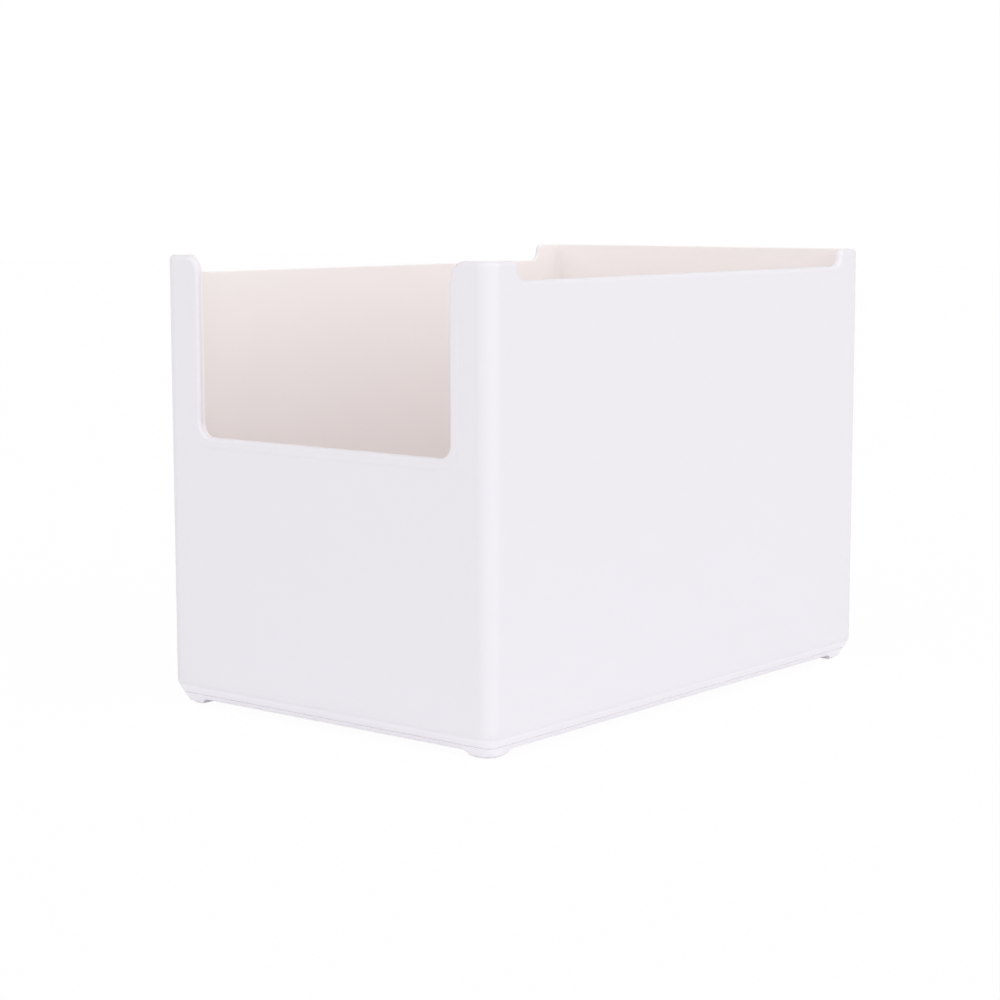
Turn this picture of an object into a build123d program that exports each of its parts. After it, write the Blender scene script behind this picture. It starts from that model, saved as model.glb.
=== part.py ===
from build123d import *
import math
import os

# Open stacking storage bin in white moulded plastic, with a deep hand opening in front.
# Frame: +Z up, +X to the bin's right seen from the front, -Y the front.
# The origin lies on the standing surface, under the middle of the bin.
# All lengths are in millimetres.

# Bin body
width = 186.0
depth = 282.0
height = 200.0
wall = 3.0
corner_radius = 7.0
skirt_top = 9.4
skirt_slope = 31.0
skirt_round = 5.0
body_bottom = 5.0
floor_under = 9.0
floor_thickness = 2.5
floor_fillet = 4.0
rim_round = 2.0
rim_inner_bevel = 0.4

# Hand opening in the front wall
front_opening_width = 143.0
front_sill_height = 121.0
front_opening_top_round = 7.0
front_opening_bottom_round = 6.0

# Thicker border that stiffens the hand opening
border_width = 4.5
border_outer_rise = 0.15
border_inner_rise = 1.2
border_edge_round = 1.4
border_inner_slope = 0.9
border_end_drop = 8.5

# Lowered edges of the two side walls, between the corner posts
side_edge_height = 192.0
front_post_length = 17.7
rear_post_length = 19.0
post_top_round = 2.9
post_foot_round = 5.0

# Base frame, which nests inside the posts of the bin below
stacking_clearance = 0.6
frame_fit = 0.1
frame_bottom = 2.7
seam_gap = 0.1
seam_bevel = 0.3
frame_band = 2.6
frame_rail_offset = 24.0
frame_rail = 2.0
frame_flange = 2.0
frame_rib = 1.6
frame_ribs_long = 6
frame_ribs_short = 4

# Pegs of the frame in the bosses under the body's floor
peg_diameter = 4.6
peg_fit = 0.05
peg_end_gap = 0.6
boss_diameter = 9.0
boss_foot_gap = 0.1
pegs_long = 2
pegs_short = 1

# Stiffening ribs under the floor, inside the frame
floor_rib = 1.6
floor_rib_height = 3.0
floor_ribs_across = 5
floor_ribs_along = 2
floor_rib_frame_gap = 1.0

# Corner feet, pushed into the frame from below
foot_reach = 14.8
foot_flat_reach = 9.8
foot_recess = 1.0
foot_recess_fit = 0.05
foot_sole_inset = 6.1
foot_edge_inset = 4.5
foot_edge_height = 1.0
foot_corner_radius = 4.5
foot_peg = 8.0
foot_peg_length = 5.0
foot_peg_fit = 0.05
foot_socket_wall = 2.4
foot_peg_inset = 10.5

# Lengths of cutters that run far past, or just past, what they cut, and a length that counts as none
BIG = 400.0
PAST = 1.0
TOUCH = 0.01


def outline(inset, z):
    """The bin's plan outline, moved inwards by inset, at height z."""
    shape = RectangleRounded(width - 2 * inset, depth - 2 * inset, corner_radius - inset)
    return Pos(0, 0, z) * shape


def wall_inset(x, y):
    """Distance from the outer outline inwards to a point, measured square to the outline."""
    qx = abs(x) - (width / 2 - corner_radius)
    qy = abs(y) - (depth / 2 - corner_radius)
    outside = math.hypot(max(qx, 0), max(qy, 0))
    return corner_radius - outside - min(max(qx, qy), 0)


def skyline_cut(low, high, level, top_round, bottom_round):
    """Area above a wall that dips to level between low and high, with rounded steps."""
    corners = [
        (low - BIG, height + BIG),
        (low - BIG, height),
        (low, height),
        (low, level),
        (high, level),
        (high, height),
        (high + BIG, height),
        (high + BIG, height + BIG),
    ]
    face = make_face(Polyline(*corners, close=True))
    steps = [v for v in face.vertices() if low - TOUCH < v.X < high + TOUCH]
    face = fillet([v for v in steps if abs(v.Y - height) < TOUCH], top_round)
    return fillet([v for v in face.vertices() if abs(v.Y - level) < TOUCH], bottom_round)


def front_opening():
    """Solid that cuts the hand opening out of the front wall."""
    half = front_opening_width / 2
    area = skyline_cut(
        -half, half, front_sill_height, front_opening_top_round, front_opening_bottom_round
    )
    plane = Plane(origin=(0, -depth / 2 + wall / 2, 0), x_dir=(1, 0, 0), z_dir=(0, -1, 0))
    cutter = extrude(plane * area, wall, both=True)
    reach = half + front_opening_top_round
    return cutter & Pos(0, 0, height) * Box(2 * reach, BIG, BIG)


def opening_border():
    """U-shaped bar round the hand opening, thicker than the wall, ending below the post tops."""
    half = front_opening_width / 2
    top = height - border_end_drop
    outer = skyline_cut(
        -half - border_width,
        half + border_width,
        front_sill_height - border_width,
        front_opening_top_round,
        front_opening_bottom_round + border_width,
    )
    inner = skyline_cut(
        -half, half, front_sill_height, front_opening_top_round, front_opening_bottom_round
    )
    below = Pos(0, top / 2) * Rectangle(width, top)
    area = (outer - inner) & below
    front = -depth / 2 - border_outer_rise
    back = -depth / 2 + wall + border_inner_rise
    plane = Plane(origin=(0, front, 0), x_dir=(1, 0, 0), z_dir=(0, -1, 0))
    bar = extrude(plane * area, front - back)
    slopes = ((front, border_outer_rise - TOUCH), (back, border_inner_slope))
    for face_y, slope in slopes:
        edges = [e for e in bar.edges() if is_border_edge(e, face_y)]
        bar = chamfer(edges, slope)
    return fillet([e for e in bar.edges() if is_opening_edge(e)], border_edge_round)


def edge_points(edge):
    return [edge.position_at(t) for t in (0, 0.5, 1)]


def is_opening_edge(edge):
    """True for an edge of the border that faces the hand opening and runs along it."""
    points = edge_points(edge)
    half = front_opening_width / 2
    inside = all(abs(p.X) < half + TOUCH and p.Z > front_sill_height - TOUCH for p in points)
    return inside and abs(points[0].Y - points[2].Y) < TOUCH


def is_border_edge(edge, face_y):
    """True for an edge on the border's front or back face, away from the hand opening."""
    points = edge_points(edge)
    half = front_opening_width / 2
    sill = front_sill_height
    on_face = all(abs(p.Y - face_y) < TOUCH for p in points)
    beside_opening = all(abs(p.X) < half + TOUCH and p.Z > sill - TOUCH for p in points)
    return on_face and not beside_opening


def side_openings():
    """Solid that lowers both side walls between the posts."""
    low = -depth / 2 + front_post_length
    high = depth / 2 - rear_post_length
    area = skyline_cut(low, high, side_edge_height, post_top_round, post_foot_round)
    plane = Plane(origin=(-BIG / 2, 0, 0), x_dir=(0, 1, 0), z_dir=(1, 0, 0))
    cutter = extrude(plane * area, BIG)
    middle = (low + high) / 2
    reach = (high - low) / 2 + post_top_round
    return cutter & Pos(0, middle, height) * Box(BIG, 2 * reach, BIG)


def is_rim_edge(edge, inset):
    """True for an edge that runs along the rim, on the wall face that lies inset deep."""
    points = edge_points(edge)
    above_sill = all(p.Z > front_sill_height - PAST for p in points)
    on_face = all(abs(wall_inset(p.X, p.Y) - inset) < TOUCH for p in points)
    level = abs(points[0].Z - points[2].Z) < TOUCH
    bend_x = all(abs(abs(p.X) - width / 2 + corner_radius) < TOUCH for p in points)
    bend_y = all(abs(abs(p.Y) - depth / 2 + corner_radius) < TOUCH for p in points)
    return above_sill and on_face and (level or not (bend_x or bend_y))


def peg_places():
    """Plan positions of the frame's pegs, halfway between its band and its inner rail."""
    line = (band_inset + frame_band + frame_rail_offset) / 2
    x = width / 2 - line
    y = depth / 2 - line
    reach_y = depth / 2 - 2 * frame_rail_offset
    reach_x = width / 2 - 2 * frame_rail_offset
    places = []
    for n in range(pegs_long):
        at = reach_y * (2 * n + 1 - pegs_long) / pegs_long
        places += [(x, at), (-x, at)]
    for n in range(pegs_short):
        at = reach_x * (2 * n + 1 - pegs_short) / pegs_short
        places += [(at, y), (at, -y)]
    return places


def foot_places():
    """Signs of X and Y of the four corners, with each foot's name."""
    return {
        "foot_front_left": (-1, -1),
        "foot_front_right": (1, -1),
        "foot_rear_left": (-1, 1),
        "foot_rear_right": (1, 1),
    }


band_inset = wall + stacking_clearance
rebate_inset = band_inset - frame_fit
floor_top = floor_under + floor_thickness
flange_top = frame_bottom + frame_flange


def skirt_inset(z):
    """How far the leaning skirt has drawn in from the walls at height z."""
    return (skirt_top - z) * math.tan(math.radians(skirt_slope))


def outer_form(low, high):
    """The bin's outside from low to high: upright walls on a skirt that leans inwards."""
    walls = extrude(outline(0, skirt_top), height - skirt_top)
    down = Plane(origin=(0, 0, skirt_top), x_dir=(1, 0, 0), z_dir=(0, 0, -1))
    mouth = down * RectangleRounded(width, depth, corner_radius)
    form = walls + extrude(mouth, skirt_top, taper=skirt_slope)
    bend = [e for e in form.edges() if all(abs(p.Z - skirt_top) < TOUCH for p in edge_points(e))]
    form = fillet(bend, skirt_round)
    return form & Pos(0, 0, (low + high) / 2) * Box(BIG, BIG, high - low)


def bin_body():
    """Walls, floor and corner posts, with the rebate below the floor that takes the frame."""
    body = outer_form(body_bottom, height)
    body = chamfer(body.edges().group_by(Axis.Z)[0], seam_bevel)
    inside = extrude(outline(wall, floor_top), height)
    inside = fillet(inside.edges().group_by(Axis.Z)[0], floor_fillet)
    rebate = extrude(outline(rebate_inset, 0), floor_under)
    body = body - inside - rebate - front_opening() - side_openings()
    body = fillet([e for e in body.edges() if is_rim_edge(e, 0)], rim_round)
    body = chamfer([e for e in body.edges() if is_rim_edge(e, wall)], rim_inner_bevel)
    return body + opening_border() + floor_bosses() + floor_ribs()


def floor_bosses():
    """Hollow bosses under the floor, one round each peg of the frame."""
    length = floor_under - flange_top - boss_foot_gap
    ring = Circle(boss_diameter / 2) - Circle(peg_diameter / 2 + peg_fit)
    boss = extrude(ring, length + TOUCH)
    return [Pos(x, y, floor_under - length) * boss for x, y in peg_places()]


def floor_ribs():
    """Ribs across and along the floor's underside, inside the frame's inner rail."""
    edge = frame_rail_offset + frame_rail + floor_rib_frame_gap
    x_span = width - 2 * edge
    y_span = depth - 2 * edge
    z = floor_under - floor_rib_height / 2 + TOUCH
    ribs = []
    for n in range(floor_ribs_across):
        y = -y_span / 2 + y_span * (n + 0.5) / floor_ribs_across
        ribs.append(Pos(0, y, z) * Box(x_span, floor_rib, floor_rib_height))
    for n in range(floor_ribs_along):
        x = -x_span / 2 + x_span * (n + 0.5) / floor_ribs_along
        ribs.append(Pos(x, 0, z) * Box(floor_rib, y_span, floor_rib_height))
    return ribs


def base_frame():
    """Ring under the body: leaning band, flange, inner rail, ribs, pegs and foot sockets."""
    band_top = body_bottom - seam_gap
    band = outer_form(frame_bottom, band_top)
    band = chamfer(band.edges().group_by(Axis.Z)[-1], seam_bevel)
    outer = band + extrude(outline(band_inset, band_top - TOUCH), floor_under - band_top + TOUCH)
    rail_x = width - 2 * frame_rail_offset
    rail_y = depth - 2 * frame_rail_offset
    window = extrude(
        Rectangle(rail_x - 2 * frame_rail, rail_y - 2 * frame_rail), floor_under + PAST
    )
    channel = extrude(outline(band_inset + frame_band, flange_top), floor_under)
    channel -= extrude(Pos(0, 0, flange_top) * Rectangle(rail_x, rail_y), floor_under)
    frame = outer - window - channel
    keep = outer & channel
    frame = frame + (frame_ribs() & keep)
    for x, y in foot_sockets():
        block = foot_peg / 2 + foot_socket_wall
        frame += (Pos(x, y, flange_top) * extrude(Circle(block), floor_under - flange_top)) & outer
    for x, y in foot_sockets():
        frame -= Pos(x, y, 0) * extrude(Circle(foot_peg / 2 + foot_peg_fit), floor_under + PAST)
    for sx, sy in foot_places().values():
        side = 2 * (foot_reach + foot_recess_fit)
        x = sx * (width / 2 - band_inset)
        y = sy * (depth / 2 - band_inset)
        frame -= Pos(x, y, frame_bottom) * Box(side, side, 2 * foot_recess)
    peg_length = floor_under - flange_top - peg_end_gap
    for x, y in peg_places():
        frame += Pos(x, y, flange_top - TOUCH) * extrude(Circle(peg_diameter / 2), peg_length)
    return frame


def frame_ribs():
    """Ribs between the frame's band and its inner rail, clear of the pegs."""
    tall = floor_under - frame_bottom
    z = frame_bottom + tall / 2
    ribs = []
    for n in range(frame_ribs_long):
        y = (n + 0.5 - frame_ribs_long / 2) * (depth - 2 * frame_rail_offset) / frame_ribs_long
        ribs.append(Pos(0, y, z) * Box(width, frame_rib, tall))
    for n in range(frame_ribs_short):
        x = (n + 0.5 - frame_ribs_short / 2) * (width - 2 * frame_rail_offset) / frame_ribs_short
        ribs.append(Pos(x, 0, z) * Box(frame_rib, depth, tall))
    grid = ribs[0]
    for rib in ribs[1:]:
        grid += rib
    return grid


def foot_sockets():
    """Plan positions of the four sockets in the frame."""
    x = width / 2 - band_inset - foot_peg_inset
    y = depth / 2 - band_inset - foot_peg_inset
    return [(sx * x, sy * y) for sx, sy in foot_places().values()]


def ramp_profile():
    """Side view of a foot, measured from the band's outer face: flat, then an S up to the frame."""
    top = frame_bottom + foot_recess
    start = (foot_flat_reach, 0)
    middle = ((foot_flat_reach + foot_reach) / 2, frame_bottom / 2)
    end = (foot_reach, frame_bottom)
    lower = TangentArc(start, middle, tangent=(1, 0))
    upper = TangentArc(middle, end, tangent=lower % 1)
    rest = Polyline(end, (foot_reach, top), (-PAST, top), (-PAST, 0), start)
    return make_face([lower, upper, rest])


def foot():
    """Front left foot: a pad that goes on the skirt's slope, with S-shaped ends and a peg."""
    seat = frame_bottom + foot_recess
    sections = []
    for inset, z in ((foot_sole_inset, 0), (foot_edge_inset, foot_edge_height)):
        edge = RectangleRounded(width - 2 * inset, depth - 2 * inset, foot_corner_radius)
        sections.append((Pos(0, 0, z) * edge).face())
    sections.append(outline(skirt_inset(seat), seat).face())
    pad = loft(sections, ruled=True)
    band_x = -width / 2 + band_inset
    band_y = -depth / 2 + band_inset
    across = Plane(origin=(band_x, 0, 0), x_dir=(1, 0, 0), z_dir=(0, -1, 0))
    along = Plane(origin=(0, band_y, 0), x_dir=(0, 1, 0), z_dir=(1, 0, 0))
    pad = pad & extrude(across * ramp_profile(), BIG, both=True)
    pad = pad & extrude(along * ramp_profile(), BIG, both=True)
    x, y = foot_sockets()[0]
    return pad + Pos(x, y, seat - TOUCH) * extrude(Circle(foot_peg / 2), foot_peg_length)


export_step(bin_body(), "parts/bin_body.step")
export_step(base_frame(), "parts/base_frame.step")
front_left_foot = foot()
for name, (side_x, side_y) in foot_places().items():
    placed = front_left_foot
    if side_x > 0:
        placed = mirror(placed, about=Plane.YZ)
    if side_y > 0:
        placed = mirror(placed, about=Plane.XZ)
    export_step(placed, f"parts/{name}.step")
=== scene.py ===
"""A white moulded stacking bin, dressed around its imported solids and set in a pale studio."""
import math

import bpy
from mathutils import Euler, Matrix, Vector


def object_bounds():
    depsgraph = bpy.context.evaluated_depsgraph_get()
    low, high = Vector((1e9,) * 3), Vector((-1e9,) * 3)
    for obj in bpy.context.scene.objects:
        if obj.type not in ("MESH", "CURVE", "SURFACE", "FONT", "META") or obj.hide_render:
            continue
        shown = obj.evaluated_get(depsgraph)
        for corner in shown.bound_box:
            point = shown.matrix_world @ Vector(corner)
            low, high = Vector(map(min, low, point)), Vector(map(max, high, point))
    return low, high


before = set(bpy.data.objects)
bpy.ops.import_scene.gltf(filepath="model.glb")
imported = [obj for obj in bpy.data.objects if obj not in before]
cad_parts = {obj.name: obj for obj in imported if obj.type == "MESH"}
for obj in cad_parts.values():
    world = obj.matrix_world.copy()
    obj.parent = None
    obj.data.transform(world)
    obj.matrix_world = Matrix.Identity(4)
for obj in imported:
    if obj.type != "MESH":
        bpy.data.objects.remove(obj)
cad_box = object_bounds()

MM = 0.001

# Where the bin's paler faces of painted light lie: inside its walls, from part way through their
# thickness, and down the skirt at its foot
BIN_HALF_WIDTH = cad_box[1][0]
BIN_HALF_DEPTH = 141 * MM
BIN_CORNER = 7 * MM
BIN_FLOOR = 11.5 * MM
FLOOR_PAINTED_LIGHT_BLEND = 1 * MM
INNER_PAINTED_LIGHT_STARTS = 1.6 * MM
INNER_PAINTED_LIGHT_FULL = 2.8 * MM
SKIRT_PAINTED_LIGHT_STARTS = 9.4 * MM
SKIRT_PAINTED_LIGHT_FULL = 8.2 * MM

# The plastic's gloss, its slow flow pattern and its very fine skin
PLASTIC_IOR = 1.49
PLASTIC_ROUGHNESS = 0.30
FLOW_SCALE = 9.0
FLOW_ROUGHNESS = 0.06
FLOW_HEIGHT = 0.25
SKIN_SCALE = 2600.0
SKIN_ROUGHNESS = 0.04
SKIN_HEIGHT = 0.004
BUMP_DISTANCE = 0.6 * MM
BUMP_STRENGTH = 0.25

# Camera, worked out from the bin's straight edges in the photograph
CAMERA_AT = Vector((0.6636, -0.8367, 0.2249))
CAMERA_TURN = 39.135
CAMERA_DOWN = 7.484
CAMERA_ROLL = -0.065
FOCAL_PIXELS = 2306.4
FRAME_PIXELS = 1000
SENSOR = 36.0
CAMERA_NEAREST = 0.05
CAMERA_FARTHEST = 50.0

# Studio: the surround's light, and the floor's half size, place under the feet and whiteness
STUDIO_SURROUND = 0.53
STUDIO_HALF = 6.0
STUDIO_DROP = 0.02 * MM
STUDIO_WHITENESS = 0.97


def colour(r, g, b):
    """A linear colour from screen values of 0 to 255."""
    def linear(v):
        v /= 255
        return v / 12.92 if v <= 0.04045 else ((v + 0.055) / 1.055) ** 2.4
    return (linear(r), linear(g), linear(b), 1.0)


# Three whites of the plastic: the walls' own white, and two paler whites of painted light, inside the
# bin, and on the skirt with the base and feet below it, against the shade near the floor
WALL_WHITE = colour(238, 235, 241)
INNER_PAINTED_LIGHT_WHITE = colour(253, 247, 246)
FOOT_PAINTED_LIGHT_WHITE = colour(247, 244, 250)

STUDIO_PALE = (0.95, 0.95, 0.95, 1.0)
STUDIO_WHITE = (1.0, 1.0, 1.0, 1.0)


class Socket:
    """A shader value; sums and products on it add the matching Math nodes."""

    def __init__(self, make, link):
        self.make = make
        self.link = link

    def math(self, operation, other=0.0, swap=False):
        """One Math node on this value and the other; swap puts the other first."""
        pair = (other, self) if swap else (self, other)
        return self.make("ShaderNodeMath", {"operation": operation}, {0: pair[0], 1: pair[1]})[0]

    def __add__(self, other):
        return self.math("ADD", other)

    __radd__ = __add__

    def __mul__(self, other):
        return self.math("MULTIPLY", other)

    __rmul__ = __mul__

    def __sub__(self, other):
        return self.math("SUBTRACT", other)

    def __rsub__(self, other):
        return self.math("SUBTRACT", other, swap=True)

    def abs(self):
        return self.math("ABSOLUTE")

    def root(self):
        return self.math("SQRT")

    def max(self, other):
        return self.math("MAXIMUM", other)

    def min(self, other):
        return self.math("MINIMUM", other)


class Shader:
    """The node tree of a material or a world, with one method that adds any node."""

    def __init__(self, owner):
        self.owner = owner
        self.owner.use_nodes = True
        self.tree = owner.node_tree
        self.tree.nodes.clear()

    def add(self, kind, settings=None, values=None):
        """Adds a node: settings first, then the values or links of its input sockets."""
        node = self.tree.nodes.new(kind)
        for key, value in (settings or {}).items():
            setattr(node, key, value)
        for key, value in (values or {}).items():
            if isinstance(value, Socket):
                self.tree.links.new(value.link, node.inputs[key])
            else:
                node.inputs[key].default_value = value
        return [Socket(self.add, out) for out in node.outputs]

    def ramp(self, value, low, high):
        """0 below low and 1 above high, eased between them."""
        settings = {"interpolation_type": "SMOOTHSTEP"}
        return self.add("ShaderNodeMapRange", settings, {0: value, 1: low, 2: high})[0]

    def mix_colour(self, factor, first, second):
        """The first colour where the factor is 0 and the second where it is 1."""
        settings = {"data_type": "RGBA"}
        return self.add("ShaderNodeMix", settings, {0: factor, 6: first, 7: second})[2]

    def place(self):
        """The shaded point in the piece's own Object coordinates, in metres."""
        return self.add("ShaderNodeTexCoord")[3]

    def noise(self, place, scale, detail):
        """A smooth random value between 0 and 1; scale is its waves in a metre."""
        values = {"Vector": place, "Scale": scale, "Detail": detail}
        return self.add("ShaderNodeTexNoise", None, values)[0]

    def seen(self):
        """1 on rays from the camera, off a gloss or through glass, and 0 on all others."""
        path = self.add("ShaderNodeLightPath")
        camera_ray, glossy_ray, transmission_ray = path[0], path[3], path[6]
        return camera_ray.max(glossy_ray).max(transmission_ray)

    def mix_surface(self, factor, first, second):
        """The first surface where the factor is 0 and the second where it is 1."""
        return self.add("ShaderNodeMixShader", None, {0: factor, 1: first, 2: second})[0]

    def finish(self, surface, output="ShaderNodeOutputMaterial"):
        """Ends the tree in a surface, and gives back the material or world that owns it."""
        self.add(output, None, {"Surface": surface})
        return self.owner


def inner_painted_light_mask(s, x, y, z):
    """1 on the bin's inner faces, which take the inner painted light, and 0 on its outer ones.

    A point's depth behind the outline is the corner radius less its distance past the rectangle
    that joins the centres of the four corners.
    """
    past_x = x.abs() - (BIN_HALF_WIDTH - BIN_CORNER)
    past_y = y.abs() - (BIN_HALF_DEPTH - BIN_CORNER)
    round_x = past_x.max(0.0)
    round_y = past_y.max(0.0)
    past = (round_x * round_x + round_y * round_y).root() + past_x.max(past_y).min(0.0)
    above_floor = s.ramp(z, BIN_FLOOR - FLOOR_PAINTED_LIGHT_BLEND, BIN_FLOOR)
    return above_floor * s.ramp(BIN_CORNER - past, INNER_PAINTED_LIGHT_STARTS, INNER_PAINTED_LIGHT_FULL)


def shell_white_with_painted_light(s, place):
    """The body's white, with painted light: lighter and warmer inside, and a little lighter down the
    skirt.
    """
    x, y, z = s.add("ShaderNodeSeparateXYZ", None, {"Vector": place})[:3]
    above_skirt = s.ramp(z, SKIRT_PAINTED_LIGHT_FULL, SKIRT_PAINTED_LIGHT_STARTS)
    # Painted light: a paler white down the skirt offsets the shade near the floor
    outside_with_painted_light = s.mix_colour(above_skirt, FOOT_PAINTED_LIGHT_WHITE, WALL_WHITE)
    # Painted light: a paler, warmer white on the inner faces stands in for the light inside the bin
    return s.mix_colour(inner_painted_light_mask(s, x, y, z), outside_with_painted_light, INNER_PAINTED_LIGHT_WHITE)


def moulded_plastic(name, tint):
    """White moulded plastic; tint is one colour, or a function of the place that gives it."""
    s = Shader(bpy.data.materials.new(name))
    place = s.place()
    flow = s.noise(place, FLOW_SCALE, 2.0)
    skin = s.noise(place, SKIN_SCALE, 1.0)
    bump = s.add("ShaderNodeBump", None, {
        "Strength": BUMP_STRENGTH,
        "Distance": BUMP_DISTANCE,
        "Height": flow * FLOW_HEIGHT + skin * SKIN_HEIGHT,
    })[0]
    surface = s.add("ShaderNodeBsdfPrincipled", None, {
        "Base Color": tint(s, place) if callable(tint) else tint,
        "Roughness": PLASTIC_ROUGHNESS + FLOW_ROUGHNESS * flow + SKIN_ROUGHNESS * skin,
        "IOR": PLASTIC_IOR,
        "Normal": bump,
    })[0]
    return s.finish(surface)


def paint(node, material):
    """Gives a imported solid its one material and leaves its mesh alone."""
    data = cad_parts[node].data
    data.materials.clear()
    data.materials.append(material)


def place_camera():
    """Stands the camera where the photograph was taken from, with the same field of view."""
    data = bpy.data.cameras.new("camera")
    data.sensor_width = SENSOR
    data.lens = FOCAL_PIXELS * SENSOR / FRAME_PIXELS
    data.clip_start = CAMERA_NEAREST
    data.clip_end = CAMERA_FARTHEST
    camera = bpy.data.objects.new("camera", data)
    bpy.context.scene.collection.objects.link(camera)
    turn = math.radians(CAMERA_TURN)
    down = math.radians(CAMERA_DOWN)
    forward = Vector((-math.sin(turn) * math.cos(down), math.cos(turn) * math.cos(down),
                      -math.sin(down)))
    look = forward.to_track_quat("-Z", "Y").to_matrix().to_4x4()
    roll = Euler((0, 0, math.radians(CAMERA_ROLL))).to_matrix().to_4x4()
    camera.matrix_world = look @ roll
    camera.location = CAMERA_AT
    bpy.context.scene.camera = camera


def studio_world():
    """A soft surround, which is plain white where the camera, gloss or glass sees it."""
    world = bpy.data.worlds.new("studio")
    bpy.context.scene.world = world
    s = Shader(world)
    soft = s.add("ShaderNodeBackground", None, {"Color": STUDIO_WHITE, "Strength": STUDIO_SURROUND})[0]
    white = s.add("ShaderNodeBackground", None, {"Color": STUDIO_WHITE, "Strength": 1.0})[0]
    s.finish(s.mix_surface(s.seen(), soft, white), "ShaderNodeOutputWorld")


def studio_floor():
    """A pale floor that shows as white and keeps the bin's soft shadow."""
    s = Shader(bpy.data.materials.new("studio_floor"))
    pale = s.add("ShaderNodeBsdfDiffuse", None, {"Color": STUDIO_PALE})[0]
    white = s.add("ShaderNodeEmission", None, {"Color": STUDIO_WHITE, "Strength": 1.0})[0]
    surface = s.mix_surface(s.seen() * STUDIO_WHITENESS, pale, white)
    sides = ((-1, -1), (1, -1), (1, 1), (-1, 1))
    corners = [(x * STUDIO_HALF, y * STUDIO_HALF, -STUDIO_DROP) for x, y in sides]
    mesh = bpy.data.meshes.new("floor")
    mesh.from_pydata(corners, [], [(0, 1, 2, 3)])
    mesh.materials.append(s.finish(surface))
    floor = bpy.data.objects.new("floor", mesh)
    bpy.context.scene.collection.objects.link(floor)


def soft_sun(name, come_from, strength, spread):
    """A lamp so far off that it lights every height alike; spread sets how soft it is."""
    data = bpy.data.lights.new(name, "SUN")
    data.energy = strength
    data.angle = math.radians(spread)
    lamp = bpy.data.objects.new(name, data)
    lamp.rotation_euler = Vector(come_from).to_track_quat("Z", "Y").to_euler()
    bpy.context.scene.collection.objects.link(lamp)


def studio_lamps():
    """Four broad lamps, from the right, the front, the nearest corner and above."""
    soft_sun("right", come_from=(3.0, 0.3, 1.1), strength=0.8, spread=50)
    soft_sun("front", come_from=(-0.8, -3.0, 1.0), strength=0.62, spread=50)
    soft_sun("near", come_from=(2.2, -2.2, 0.5), strength=0.4, spread=40)
    soft_sun("top", come_from=(0.5, -0.3, 3.0), strength=0.46, spread=60)


bpy.context.scene.view_settings.view_transform = "Standard"

shell = moulded_plastic("white_shell", shell_white_with_painted_light)
# The base and feet take the skirt's paler white all over: painted light against the shade near the
# floor
base = moulded_plastic("white_base", FOOT_PAINTED_LIGHT_WHITE)
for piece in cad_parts:
    paint(piece, shell if piece == "bin_body" else base)

place_camera()
studio_world()
studio_floor()
studio_lamps()
